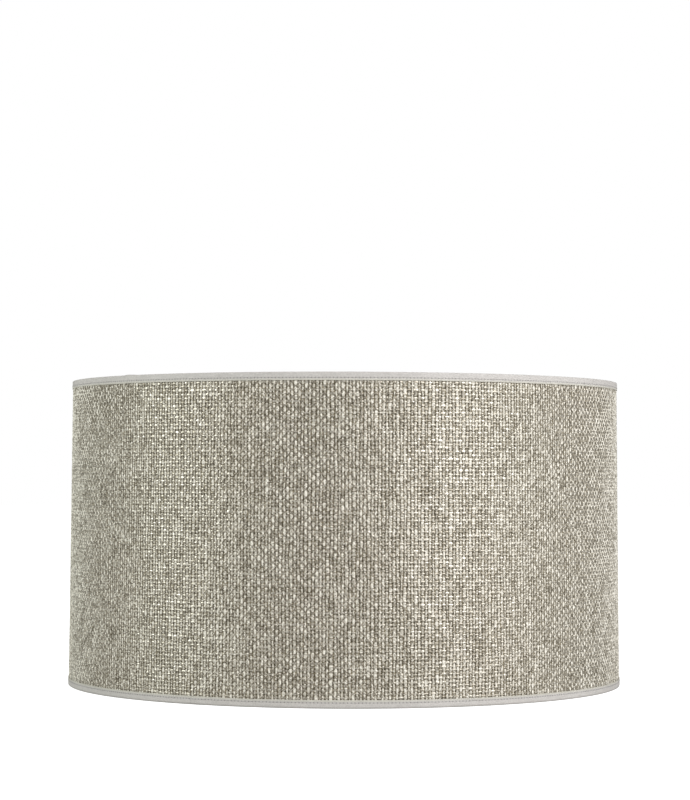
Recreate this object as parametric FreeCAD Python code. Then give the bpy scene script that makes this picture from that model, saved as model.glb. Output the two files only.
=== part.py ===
import FreeCAD, Part
import math
import os

os.makedirs("parts", exist_ok=True)
V = FreeCAD.Vector

# Drum lamp shade, a laminated fabric cylinder on two wire rings, with a ring fitter on three spokes.
# Millimetres, +Z up. The origin is the centre of the bottom rim, in the plane that the shade stands on.
# -Y is the front. Angles are degrees from +X, anticlockwise seen from above.

# ---- driving dimensions ----
R_BOTTOM = 275.0        # outside radius over the bottom binding
R_TOP = 272.6           # outside radius over the top binding
HEIGHT = 299.5          # rim plane to rim plane
T_FABRIC = 1.5          # woven cover, over the crowns of its yarns
T_LINER = 0.4           # stiff plastic sheet that the cover is laminated to
T_TRIM = 0.5            # binding tape
T_TAPE = 0.15           # double-sided tape in the lap seam
RING_WIRE_R = 1.6       # both rim rings are 3.2 mm wire
SPOKE_WIRE_R = 1.6
TRIM_OUT = 7.5          # how far the binding reaches down the outside
TRIM_IN = 9.0           # and down the inside
TRIM_CORNER = 0.9       # outside radius of the fold
TRIM_WRAP_DEG = 110.0   # where the binding leaves the rim ring
STITCH_S = 5.2          # stitch line, measured from the rim plane
THREAD_W = 0.5
THREAD_T = 0.3
SEAM_START = 100.0      # where the under end of the wrapped sheet starts
SEAM_LAP = 2.5          # degrees of lap, 12 mm
SEAM_JOG = 0.6          # degrees in which the sheet steps out over its own end
SEAM_GAP = 0.05
TOP_LAP = (221.4, 225.0)      # where the end of the top binding laps over its start
BOTTOM_LAP = (239.9, 243.2)
SPOKES = {"spoke_rear": 90.0, "spoke_left": 210.0, "spoke_right": 330.0}
SPOKE_FLAT_OUT = 24.0   # level run inside the top ring
SPOKE_FLAT_IN = 30.0    # level run outside the fitter
SPOKE_DROP = 28.0
SPOKE_BEND_R = 14.0
FITTER_BORE_R = 21.0    # 42 mm hole that passes over a lampholder's thread
FITTER_FLAT_R = 30.0
FITTER_R = 31.5
FITTER_T = 1.5
FITTER_FLANGE = 5.5
FITTER_EDGE = 0.4
SPOKE_ON_FLANGE = 3.4   # height of the spoke's axis above the fitter's underside
WELD_R = 2.9
WELD_LEN = 2.4
RIM_WELD_R = 2.0
RIM_WELD_LEN = 2.0
SNIP_W = 6.0            # slit in the binding at each spoke

K = (R_BOTTOM - R_TOP) / HEIGHT
T_WALL = T_TRIM + T_FABRIC + T_LINER
SEAM_STEP = T_TAPE + T_LINER


def outer_r(z):
    """Outside radius over the binding at height z."""
    return R_BOTTOM - K * z


def turn(face, a0, a1):
    """Revolves a face in the XZ plane about Z, from angle a0 to a1."""
    if a1 - a0 >= 359.9999:
        return face.revolve(V(0, 0, 0), V(0, 0, 1), 360.0)
    s = face.revolve(V(0, 0, 0), V(0, 0, 1), a1 - a0)
    s.rotate(V(0, 0, 0), V(0, 0, 1), a0)
    return s


def polygon(pts):
    """Face from (r, z) points."""
    p = [V(x, 0, z) for x, z in pts]
    return Part.Face(Part.makePolygon(p + [p[0]]))


def wall(out_off, in_off, z0, z1):
    """Face of a wall layer between two offsets inwards from the outside radius."""
    return polygon(
        [
            (outer_r(z0) - in_off, z0),
            (outer_r(z0) - out_off, z0),
            (outer_r(z1) - out_off, z1),
            (outer_r(z1) - in_off, z1),
        ]
    )


def fuse(shapes):
    s = shapes[0]
    if len(shapes) > 1:
        s = s.multiFuse(shapes[1:])
    s = s.removeSplitter()
    if s.ShapeType == "Compound" and len(s.Solids) == 1:
        s = s.Solids[0]
    return s


def save(name, shape, solids=1):
    n = len(shape.Solids)
    bad = [] if shape.isValid() else ["NOT VALID"]
    if n != solids:
        bad.append("expected %d solids" % solids)
    b = shape.BoundBox
    print(
        "%-18s solids %d  vol %10.1f mm3  x %.2f..%.2f y %.2f..%.2f z %.2f..%.2f %s"
        % (name, n, shape.Volume, b.XMin, b.XMax, b.YMin, b.YMax, b.ZMin, b.ZMax, " ".join(bad))
    )
    shape.exportStep("parts/%s.step" % name)
    made[name] = shape


made = {}

# ---- wall: a sheet wrapped once round, its end lapped over its start ----
Z0, Z1 = T_TRIM, HEIGHT - T_TRIM
A0 = SEAM_START
A_JOG = A0 + 360.0 - SEAM_JOG
A_OVER = A0 + 360.0 + SEAM_LAP

liner_out = T_TRIM + T_FABRIC
liner = fuse(
    [
        turn(wall(liner_out, T_WALL, Z0, Z1), A0, A_JOG),
        turn(wall(liner_out - SEAM_STEP, T_WALL, Z0, Z1), A_JOG, A0 + 360.0 - SEAM_GAP),
        turn(wall(liner_out - SEAM_STEP, T_WALL - SEAM_STEP, Z0, Z1), A0 + 360.0 - SEAM_GAP, A_OVER),
    ]
)
save("liner_sheet", liner)

fabric = fuse(
    [
        turn(wall(T_TRIM, liner_out, Z0, Z1), A0 + SEAM_LAP + SEAM_GAP, A_JOG),
        turn(wall(T_TRIM - SEAM_STEP, liner_out - SEAM_STEP, Z0, Z1), A_JOG, A_OVER),
    ]
)
save("fabric_cover", fabric)

tape = turn(wall(liner_out - T_TAPE, liner_out, Z0 + 2.0, Z1 - 2.0), A0 + 0.15, A0 + SEAM_LAP - 0.15)
save("seam_tape", tape)


# ---- rims: (r, s) with s measured from the rim plane into the shade ----
class Rim:
    def __init__(self, top):
        self.top = top
        self.ring_s = T_TRIM + RING_WIRE_R
        # the ring touches the liner's inner face, which leans by K
        lean = math.sqrt(1 + K * K)
        self.ring_r = self.r(self.ring_s) - T_WALL - RING_WIRE_R * lean

    def r(self, s):
        return outer_r(HEIGHT - s if self.top else s)

    def z(self, s):
        return HEIGHT - s if self.top else s

    def p(self, r, s):
        return V(r, 0, self.z(s))

    def arc(self, cx, cs, rad, d0, d1):
        mid = math.radians((d0 + d1) / 2)
        d0, d1 = math.radians(d0), math.radians(d1)
        q = [self.p(cx + rad * math.cos(a), cs + rad * math.sin(a)) for a in (d0, mid, d1)]
        return Part.Arc(*q).toShape(), q[0], q[2]

    def ring(self):
        return Part.makeTorus(self.ring_r, RING_WIRE_R, V(0, 0, self.z(self.ring_s)), V(0, 0, 1))

    def binding(self, shift=0.0):
        """Cross-section of the folded tape. shift moves the outside leaf outwards."""
        t, w = T_TRIM, RING_WIRE_R
        rc, sc = self.ring_r, self.ring_s
        d = -360.0 + TRIM_WRAP_DEG
        li = lambda s: self.r(s) - T_WALL
        ph = math.radians(TRIM_WRAP_DEG)
        dr, ds = math.sin(ph), -math.cos(ph)
        # along the tangent from the ring to the liner's inner face, inner and outer faces of the tape
        lean = (li(1.0) - li(0.0))

        def meet(rad, off):
            x0, s0 = rc + rad * math.cos(ph), sc + rad * math.sin(ph)
            # x0 + l*dr = li(0) + lean*(s0 + l*ds) - off
            l = (li(0.0) + lean * s0 - off - x0) / (dr - lean * ds)
            return (x0 + l * dr, s0 + l * ds)

        e_in, e_out = meet(w, 0.0), meet(w + t, t)
        in_arc, c_pt, d_pt = self.arc(rc, sc, w, -90.0, d)
        out_arc, c2_pt, d2_pt = self.arc(rc, sc, w + t, -90.0, d)
        q = TRIM_CORNER
        fold, f0, f1 = self.arc(self.r(q) + shift - q, q, q, -90.0, 0.0)
        a = self.p(self.r(TRIM_OUT) - t + shift, TRIM_OUT)
        b = self.p(self.r(t) - t + shift, t)
        f_in = self.p(li(TRIM_IN), TRIM_IN)
        f_out = self.p(li(TRIM_IN) - t, TRIM_IN)
        a2 = self.p(self.r(TRIM_OUT) + shift, TRIM_OUT)
        L = lambda u, v: Part.LineSegment(u, v).toShape()
        e1, e2 = self.p(*e_in), self.p(*e_out)
        edges = [
            L(a, b), L(b, c_pt), in_arc, L(d_pt, e1), L(e1, f_in), L(f_in, f_out),
            L(f_out, e2), L(e2, d2_pt), out_arc, L(c2_pt, f0), fold, L(f1, a2), L(a2, a),
        ]
        return Part.Face(Part.Wire(Part.__sortEdges__(edges)))

    def block(self, shift):
        """Cross-section that fills the step where the outside leaf rises over the seam."""
        return polygon(
            [
                (self.r(TRIM_OUT) - T_TRIM, self.z(TRIM_OUT)),
                (self.r(TRIM_OUT) + shift, self.z(TRIM_OUT)),
                (self.r(TRIM_CORNER) + shift, self.z(TRIM_CORNER)),
                (self.r(TRIM_CORNER) - T_TRIM, self.z(TRIM_CORNER)),
            ]
        )

    def lap_over(self, full):
        """Cross-section of the second layer where the tape's end laps its start."""
        q, t = TRIM_CORNER, T_TRIM
        L = lambda u, v: Part.LineSegment(u, v).toShape()
        a = self.p(self.r(TRIM_OUT), TRIM_OUT)
        a2 = self.p(self.r(TRIM_OUT) + t, TRIM_OUT)
        if not full:
            b = self.p(self.r(q), q)
            b2 = self.p(self.r(q) + t, q)
            return Part.Face(Part.Wire([L(a, b), L(b, b2), L(b2, a2), L(a2, a)]))
        rc, sc = self.ring_r, self.ring_s
        fold, f0, f1 = self.arc(self.r(q) - q, q, q, -90.0, 0.0)
        fold2, g0, g1 = self.arc(self.r(q) - q, q, q + t, -90.0, 0.0)
        g1 = self.p(self.r(q) + t, q)
        w1, c1, d1 = self.arc(rc, sc, RING_WIRE_R + t, -90.0, -180.0)
        w2, c2, d2 = self.arc(rc, sc, RING_WIRE_R + 2 * t, -90.0, -180.0)
        edges = [L(a, f1), fold, L(f0, c1), w1, L(d1, d2), w2, L(c2, g0), fold2, L(g1, a2), L(a2, a)]
        return Part.Face(Part.Wire(Part.__sortEdges__(edges)))

    def thread(self, off):
        """Cross-section of the thread line, its inner side at this offset outwards from the outside radius."""
        s0, s1 = STITCH_S - THREAD_W / 2, STITCH_S + THREAD_W / 2
        return polygon(
            [
                (self.r(s0) + off, self.z(s0)),
                (self.r(s0) + off + THREAD_T, self.z(s0)),
                (self.r(s1) + off + THREAD_T, self.z(s1)),
                (self.r(s1) + off, self.z(s1)),
            ]
        )

    def thread_post(self, lo, hi):
        s0, s1 = STITCH_S - THREAD_W / 2, STITCH_S + THREAD_W / 2
        return polygon(
            [
                (self.r(s0) + lo, self.z(s0)),
                (self.r(s0) + hi, self.z(s0)),
                (self.r(s1) + hi, self.z(s1)),
                (self.r(s1) + lo, self.z(s1)),
            ]
        )


rim_top, rim_bottom = Rim(True), Rim(False)
save("top_ring", rim_top.ring())
save("bottom_ring", rim_bottom.ring())

# the seam's raised part, and the steps either side of it
U0, U1 = A_JOG - 360.0, A_OVER - 360.0
STEP_W = 0.3


def binding_solid(rim, lap, full):
    parts = [
        turn(rim.binding(SEAM_STEP), U0, U1),
        turn(rim.binding(0.0), U1 + SEAM_GAP + STEP_W, U0 + 360.0 - STEP_W),
        turn(rim.binding(0.0), U0 - STEP_W, U0),
        turn(rim.binding(0.0), U1, U1 + SEAM_GAP + STEP_W),
        turn(rim.block(SEAM_STEP), U0 - STEP_W, U0),
        turn(rim.block(SEAM_STEP), U1 + SEAM_GAP, U1 + SEAM_GAP + STEP_W),
        turn(rim.lap_over(full), lap[0], lap[1]),
    ]
    return fuse(parts)


def stitching(rim, lap):
    t = THREAD_T
    seam = SEAM_STEP
    runs = [
        turn(rim.thread(0.0), U1 + SEAM_GAP + STEP_W, lap[0] if lap[0] > U1 else lap[0] + 360.0),
        turn(rim.thread(0.0), lap[1] if lap[1] > U1 else lap[1] + 360.0, U0 - STEP_W + 360.0),
        turn(rim.thread(seam), U0 - STEP_W, U1 + SEAM_GAP + STEP_W),
        turn(rim.thread(T_TRIM), lap[0], lap[1]),
        turn(rim.thread_post(0.0, seam + t), U0 - STEP_W - 0.1, U0 - STEP_W),
        turn(rim.thread_post(0.0, seam + t), U1 + SEAM_GAP + STEP_W, U1 + SEAM_GAP + STEP_W + 0.1),
        turn(rim.thread_post(0.0, T_TRIM + t), lap[0] - 0.1, lap[0]),
        turn(rim.thread_post(0.0, T_TRIM + t), lap[1], lap[1] + 0.1),
    ]
    outside = fuse(runs)
    inside = turn(rim.thread(-T_WALL - T_TRIM - THREAD_T), 0.0, 360.0)
    return Part.makeCompound([outside] + [inside])


top_trim = binding_solid(rim_top, TOP_LAP, True)
for a in SPOKES.values():
    snip = Part.makeBox(5.0, SNIP_W, 14.0, V(rim_top.ring_r - 5.0, -SNIP_W / 2, HEIGHT - 13.0))
    snip.rotate(V(0, 0, 0), V(0, 0, 1), a)
    top_trim = top_trim.cut(snip)
top_trim = top_trim.removeSplitter()
if top_trim.ShapeType == "Compound" and len(top_trim.Solids) == 1:
    top_trim = top_trim.Solids[0]
save("top_trim", top_trim)
save("bottom_trim", binding_solid(rim_bottom, BOTTOM_LAP, False))
save("top_stitching", stitching(rim_top, TOP_LAP), 2)
save("bottom_stitching", stitching(rim_bottom, BOTTOM_LAP), 2)

# ---- fitter: a pressed ring with a turned-up flange, on three bent spokes ----
Z_RING = rim_top.z(rim_top.ring_s)
Z_IN = Z_RING - SPOKE_DROP
Z_FIT = Z_IN - SPOKE_ON_FLANGE


e = FITTER_EDGE
L = lambda u, v: Part.LineSegment(V(u[0], 0, u[1]), V(v[0], 0, v[1])).toShape()


def arc3(c, rad, d0, d1):
    q = []
    for d in (d0, (d0 + d1) / 2.0, d1):
        a = math.radians(d)
        q.append(V(c[0] + rad * math.cos(a), 0, c[1] + rad * math.sin(a)))
    return Part.Arc(*q).toShape()


zf = Z_FIT
bend = 1.8  # outside radius of the flange's bend
inner_bend = bend - (FITTER_R - FITTER_FLAT_R)
edges = [
    L((FITTER_BORE_R, zf), (FITTER_R - bend, zf)),
    arc3((FITTER_R - bend, zf + bend), bend, -90, 0),
    L((FITTER_R, zf + bend), (FITTER_R, zf + FITTER_FLANGE - e)),
    arc3((FITTER_R - e, zf + FITTER_FLANGE - e), e, 0, 90),
    L((FITTER_R - e, zf + FITTER_FLANGE), (FITTER_FLAT_R + e, zf + FITTER_FLANGE)),
    arc3((FITTER_FLAT_R + e, zf + FITTER_FLANGE - e), e, 90, 180),
    L((FITTER_FLAT_R, zf + FITTER_FLANGE - e), (FITTER_FLAT_R, zf + FITTER_T + inner_bend)),
    arc3((FITTER_FLAT_R - inner_bend, zf + FITTER_T + inner_bend), inner_bend, 0, -90),
    L((FITTER_FLAT_R - inner_bend, zf + FITTER_T), (FITTER_BORE_R, zf + FITTER_T)),
    L((FITTER_BORE_R, zf + FITTER_T), (FITTER_BORE_R, zf)),
]
fitter = turn(Part.Face(Part.Wire(Part.__sortEdges__(edges))), 0.0, 360.0)
save("fitter_ring", fitter)


def rod(path, rad):
    """Round wire in the XZ plane along (r, z) points, with bends of SPOKE_BEND_R."""
    solids = []
    pts = [V(x, 0, z) for x, z in path]
    start = pts[0]
    for i in range(1, len(pts)):
        if i < len(pts) - 1:
            u = pts[i - 1].sub(pts[i])
            w = pts[i + 1].sub(pts[i])
            u.normalize()
            w.normalize()
            half = math.acos(max(-1.0, min(1.0, u.dot(w)))) / 2.0
            back = SPOKE_BEND_R / math.tan(half)
            p0, p1 = pts[i].add(u * back), pts[i].add(w * back)
            mid = u.add(w)
            mid.normalize()
            centre = pts[i].add(mid * (SPOKE_BEND_R / math.sin(half)))
            solids.append(Part.makeCylinder(rad, p0.sub(start).Length, start, p0.sub(start)))
            disc = Part.Face(Part.Wire(Part.makeCircle(rad, p0, p0.sub(start))))
            turn_deg = 180.0 - math.degrees(2 * half)
            axis = p0.sub(centre).cross(p1.sub(centre))
            solids.append(disc.revolve(centre, axis, turn_deg))
            start = p1
        else:
            solids.append(Part.makeCylinder(rad, pts[i].sub(start).Length, start, pts[i].sub(start)))
    return fuse(solids)


ring_cut = rim_top.ring()
flange_cut = Part.makeCylinder(FITTER_R, 30.0, V(0, 0, Z_FIT - 10.0))
r_out = rim_top.ring_r - RING_WIRE_R * 0.6
path = [
    (r_out, Z_RING),
    (rim_top.ring_r - SPOKE_FLAT_OUT, Z_RING),
    (FITTER_R + SPOKE_FLAT_IN, Z_IN),
    (FITTER_R - 0.6, Z_IN),
]
spoke = rod(path, SPOKE_WIRE_R).cut(ring_cut).cut(flange_cut)
spoke = spoke.Solids[0] if len(spoke.Solids) == 1 else max(spoke.Solids, key=lambda s: s.Volume)

cone_in = Part.makeCone(WELD_R, SPOKE_WIRE_R + 0.15, WELD_LEN + 0.6, V(FITTER_R - 0.6, 0, Z_IN), V(1, 0, 0))
fit_weld = cone_in.cut(Part.makeCylinder(SPOKE_WIRE_R, 20.0, V(FITTER_R - 5, 0, Z_IN), V(1, 0, 0))).cut(flange_cut)
# trimmed to the flange's height
fit_weld = fit_weld.common(Part.makeBox(20, 20, FITTER_FLANGE - 2 * e, V(FITTER_R - 5, -10, Z_FIT + e)))
cone_out = Part.makeCone(
    RIM_WELD_R, SPOKE_WIRE_R + 0.12, RIM_WELD_LEN + RING_WIRE_R, V(rim_top.ring_r, 0, Z_RING), V(-1, 0, 0)
)
rim_weld = cone_out.cut(
    Part.makeCylinder(SPOKE_WIRE_R, 20.0, V(rim_top.ring_r + 5, 0, Z_RING), V(-1, 0, 0))
).cut(ring_cut)

fit_welds = []
for name, a in SPOKES.items():
    s = spoke.copy()
    s.rotate(V(0, 0, 0), V(0, 0, 1), a)
    save(name, s)
    welds = []
    for src in (fit_weld, rim_weld):
        best = max(src.Solids, key=lambda q: q.Volume).copy()
        best.rotate(V(0, 0, 0), V(0, 0, 1), a)
        welds.append(best)
    fit_welds.append(welds[0])
    save(name.replace("spoke", "rim_weld"), welds[1])
save("fitter_welds", Part.makeCompound(fit_welds), 3)

print("fitter underside z %.3f, spoke inner z %.3f, ring z %.3f, ring r %.3f / %.3f" % (
    Z_FIT, Z_IN, Z_RING, rim_top.ring_r, rim_bottom.ring_r))
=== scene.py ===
import bpy
import math
import numpy as np
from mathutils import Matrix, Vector


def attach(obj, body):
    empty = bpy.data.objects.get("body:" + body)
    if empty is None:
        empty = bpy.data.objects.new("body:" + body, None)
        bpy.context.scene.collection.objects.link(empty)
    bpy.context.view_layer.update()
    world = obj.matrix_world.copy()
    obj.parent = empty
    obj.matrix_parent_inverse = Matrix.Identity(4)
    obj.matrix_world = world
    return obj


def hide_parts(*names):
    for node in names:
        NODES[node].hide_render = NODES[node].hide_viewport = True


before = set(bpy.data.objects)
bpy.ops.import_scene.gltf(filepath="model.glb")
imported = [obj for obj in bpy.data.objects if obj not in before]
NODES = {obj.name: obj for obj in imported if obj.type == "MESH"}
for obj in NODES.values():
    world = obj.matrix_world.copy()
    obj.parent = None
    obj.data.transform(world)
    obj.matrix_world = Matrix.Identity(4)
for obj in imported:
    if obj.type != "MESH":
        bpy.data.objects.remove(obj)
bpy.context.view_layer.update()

# ---------------------------------------------------------------- sizes, in metres
R_BOTTOM, R_TOP, HEIGHT = 0.2750, 0.2726, 0.2995
T_TRIM, T_FABRIC, T_LINER = 0.0005, 0.0015, 0.0004
T_WALL = T_TRIM + T_FABRIC + T_LINER
RING_R = 0.0016
TRIM_OUT, TRIM_IN, CORNER = 0.0075, 0.0090, 0.0009
STITCH_S = 0.0052
SEAM_STEP = 0.00055
A_START = 102.55          # where the cover starts, just past its own end
A_JOG, A_END = 459.4, 462.5
TOP_LAP = (221.4, 225.0)
BOTTOM_LAP = (239.9, 243.2)
SPOKES = (90.0, 210.0, 330.0)
N_WARP, N_WEFT = 520, 87
K = (R_BOTTOM - R_TOP) / HEIGHT

# ---------------------------------------------------------------- the weave, in threads
WARP_A, WARP_B = 0.295, 0.66      # half width and half length of a warp float
WEFT_A, WEFT_B = 0.47, 0.255      # half length and half width of a weft float
GAP = (-0.90, 0.38)
RELIEF = 0.00125
WARP_RAMP = [(0.08, (0.275, 0.249, 0.201)), (0.40, (0.517, 0.481, 0.407)), (0.62, (0.649, 0.610, 0.523)), (0.92, (0.880, 0.843, 0.755))]
WEFT_RAMP = [(0.08, (0.239, 0.211, 0.164)), (0.40, (0.377, 0.343, 0.281)), (0.62, (0.482, 0.446, 0.377)), (0.92, (0.706, 0.667, 0.587))]
# painted shade: the dark colours put in the gaps between the floats
GAP_SHADE_RAMP = [(0.15, (0.063, 0.051, 0.031)), (0.50, (0.129, 0.107, 0.068)), (0.85, (0.263, 0.224, 0.150))]
ROUGH = (0.80, 0.31)
SILK = 0.76                       # how far the weft reflects in its own colour
BUMP = (0.60, 0.0006)


def outer(z):
    return R_BOTTOM - K * z


# ---------------------------------------------------------------- mesh helpers
def new_mesh(name, co, faces, uv=None, uv_name="cloth", flat_after=None):
    """A smooth mesh object from vertices and faces, with a UV per vertex or per corner.

    faces is an array of quads, or a list of arrays, each of one polygon size. Faces of the arrays
    from flat_after on are shaded flat."""
    me = bpy.data.meshes.new(name)
    co = np.asarray(co, np.float32).reshape(-1, 3)
    groups = [np.asarray(f, np.int32) for f in (faces if isinstance(faces, list) else [faces])]
    corners = np.concatenate([f.ravel() for f in groups])
    sizes = np.concatenate([np.full(len(f), f.shape[1], np.int32) for f in groups])
    me.vertices.add(len(co))
    me.vertices.foreach_set("co", co.ravel())
    me.loops.add(len(corners))
    me.loops.foreach_set("vertex_index", corners)
    me.polygons.add(len(sizes))
    me.polygons.foreach_set("loop_start", np.concatenate([[0], np.cumsum(sizes)[:-1]]).astype(np.int32))
    me.update(calc_edges=True)
    if uv is not None:
        uv = np.asarray(uv, np.float32)
        if len(uv) == len(co):
            uv = uv[corners]
        layer = me.uv_layers.new(name=uv_name)
        layer.data.foreach_set("uv", uv.reshape(-1, 2).ravel())
    smooth = np.ones(len(sizes), bool)
    if flat_after is not None:
        smooth[sum(len(f) for f in groups[:flat_after]):] = False
    me.polygons.foreach_set("use_smooth", smooth)
    me.validate()
    ob = bpy.data.objects.new(name, me)
    bpy.context.scene.collection.objects.link(ob)
    return ob


def smooth_noise(rng, shape, sigma, wrap0=False, wrap1=False):
    """Unit-variance noise on a grid, smoothed by sigma cells along each axis."""
    g = rng.standard_normal(shape)
    for ax, (s, wrap) in enumerate(zip(sigma, (wrap0, wrap1))):
        if s <= 0:
            continue
        n = int(max(1, round(3 * s)))
        kern = np.exp(-0.5 * (np.arange(-n, n + 1) / s) ** 2)
        kern /= kern.sum()
        pad = [(0, 0)] * g.ndim
        pad[ax] = (n, n)
        p = np.pad(g, pad, mode="wrap" if wrap else "reflect")
        g = np.apply_along_axis(lambda r: np.convolve(r, kern, "valid"), ax, p)
    return g / max(g.std(), 1e-9)


def bilinear(grid, x, y):
    """Samples grid[x, y] at fractional indices, clamped."""
    x = np.clip(x, 0, grid.shape[0] - 1.001)
    y = np.clip(y, 0, grid.shape[1] - 1.001)
    i, j = np.floor(x).astype(int), np.floor(y).astype(int)
    fx, fy = x - i, y - j
    return (
        grid[i, j] * (1 - fx) * (1 - fy) + grid[i + 1, j] * fx * (1 - fy)
        + grid[i, j + 1] * (1 - fx) * fy + grid[i + 1, j + 1] * fx * fy
    )


def grid_quads(rows, cols, close_cols=False, start=0):
    idx = np.arange(rows * cols).reshape(rows, cols) + start
    nxt = np.roll(idx, -1, 1) if close_cols else idx[:, 1:]
    cur = idx if close_cols else idx[:, :-1]
    return np.stack([cur[:-1], nxt[:-1], nxt[1:], cur[1:]], -1).reshape(-1, 4)


# ---------------------------------------------------------------- node helpers
class Tree:
    def __init__(self, name):
        self.m = bpy.data.materials.new(name)
        self.m.use_nodes = True
        self.t = self.m.node_tree
        self.t.nodes.clear()
        out = self.t.nodes.new("ShaderNodeOutputMaterial")
        self.b = self.t.nodes.new("ShaderNodeBsdfPrincipled")
        self.t.links.new(self.b.outputs["BSDF"], out.inputs["Surface"])

    def node(self, kind, **props):
        n = self.t.nodes.new(kind)
        for k, v in props.items():
            setattr(n, k, v)
        return n

    def put(self, sock, v):
        if hasattr(v, "is_output"):
            self.t.links.new(v, sock)
        else:
            sock.default_value = v

    def math(self, op, a, b=None, c=None, clamp=False):
        n = self.node("ShaderNodeMath", operation=op, use_clamp=clamp)
        for s, v in zip(n.inputs, (a, b, c)):
            if v is not None:
                self.put(s, v)
        return n.outputs[0]

    def vec(self, x, y, z=0.0):
        n = self.node("ShaderNodeCombineXYZ")
        for s, v in zip(n.inputs, (x, y, z)):
            self.put(s, v)
        return n.outputs[0]

    def split(self, v):
        n = self.node("ShaderNodeSeparateXYZ")
        self.put(n.inputs[0], v)
        return n.outputs[0], n.outputs[1], n.outputs[2]

    def noise(self, v, scale=1.0, detail=2.0, rough=0.5, dims="3D"):
        n = self.node("ShaderNodeTexNoise", noise_dimensions=dims)
        self.put(n.inputs["Vector"], v)
        self.put(n.inputs["Scale"], scale)
        self.put(n.inputs["Detail"], detail)
        self.put(n.inputs["Roughness"], rough)
        return n.outputs[0]

    def white(self, w):
        n = self.node("ShaderNodeTexWhiteNoise", noise_dimensions="1D")
        self.put(n.inputs["W"], w)
        return n.outputs["Value"]

    def white2(self, x, y):
        n = self.node("ShaderNodeTexWhiteNoise", noise_dimensions="2D")
        self.put(n.inputs["Vector"], self.vec(x, y))
        return n.outputs["Value"]

    def step(self, v, lo, hi, to_lo=0.0, to_hi=1.0, smooth=True):
        n = self.node("ShaderNodeMapRange", interpolation_type="SMOOTHSTEP" if smooth else "LINEAR")
        for s, q in zip(n.inputs, (v, lo, hi, to_lo, to_hi)):
            self.put(s, q)
        return n.outputs[0]

    def mix(self, f, a, b):
        """Mix of two numbers."""
        n = self.node("ShaderNodeMix", data_type="FLOAT")
        self.put(n.inputs[0], f)
        self.put(n.inputs[2], a)
        self.put(n.inputs[3], b)
        return n.outputs[0]

    def mixc(self, f, a, b, blend="MIX"):
        n = self.node("ShaderNodeMix", data_type="RGBA", blend_type=blend)
        self.put(n.inputs[0], f)
        self.put(n.inputs[6], a)
        self.put(n.inputs[7], b)
        return n.outputs[2]

    def ramp(self, f, stops):
        n = self.node("ShaderNodeValToRGB")
        self.put(n.inputs[0], f)
        e = n.color_ramp.elements
        while len(e) < len(stops):
            e.new(0.5)
        for el, (p, c) in zip(e, stops):
            el.position = p
            el.color = (*c, 1.0)
        return n.outputs[0]

    def bump(self, height, strength, distance, normal=None):
        n = self.node("ShaderNodeBump")
        self.put(n.inputs["Height"], height)
        self.put(n.inputs["Strength"], strength)
        self.put(n.inputs["Distance"], distance)
        if normal is not None:
            self.put(n.inputs["Normal"], normal)
        return n.outputs[0]

    def uv(self, name):
        return self.node("ShaderNodeUVMap", uv_map=name).outputs[0]

    def obj(self):
        return self.node("ShaderNodeTexCoord").outputs["Object"]

    def set(self, **kw):
        for k, v in kw.items():
            self.put(self.b.inputs[k.replace("_", " ")], v)
        return self


# ---------------------------------------------------------------- the tape's path over a rim
class Rim:
    def __init__(self, top):
        self.top = top
        self.ring_s = T_TRIM + RING_R
        self.ring_r = self.r(self.ring_s) - T_WALL - RING_R * math.sqrt(1 + K * K)

    def z(self, s):
        return HEIGHT - s if self.top else s

    def r(self, s):
        return outer(self.z(s))

    def path(self):
        """Outer face of the folded tape in (r, s), from the outside leaf's edge to the inside leaf's."""
        pts = [(self.r(s), s) for s in np.linspace(TRIM_OUT, CORNER, 17)]
        for d in np.linspace(0, -90, 8)[1:]:
            q = math.radians(d)
            pts.append((self.r(CORNER) - CORNER + CORNER * math.cos(q), CORNER + CORNER * math.sin(q)))
        w = RING_R + T_TRIM
        pts.append(((pts[-1][0] + self.ring_r) / 2, 0.0))
        for d in np.linspace(-90, -250, 15):
            q = math.radians(d)
            pts.append((self.ring_r + w * math.cos(q), self.ring_s + w * math.sin(q)))
        li = lambda s: self.r(s) - T_WALL
        r0, s0 = pts[-1]
        ph = math.radians(110.0)
        dr, ds = math.sin(ph), -math.cos(ph)
        l = (li(s0) - T_TRIM - r0) / dr
        s1 = s0 + l * ds
        pts.append((r0 + 0.55 * l * dr, s0 + 0.55 * l * ds))
        for s in np.linspace(s1 + 0.0004, TRIM_IN, 8):
            pts.append((li(s) - T_TRIM, s))
        return np.array(pts)


def arc_of(path):
    return np.concatenate([[0], np.cumsum(np.linalg.norm(np.diff(path, axis=0), axis=1))])


TAPE_WIDTH = float(arc_of(Rim(True).path())[-1])
ROW_OUT = (TRIM_OUT - STITCH_S) * 1000
ROW_IN = TAPE_WIDTH * 1000 - (TRIM_IN - STITCH_S) * 1000
PITCH = 2 * math.pi * R_BOTTOM / N_WARP * 1000


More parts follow.
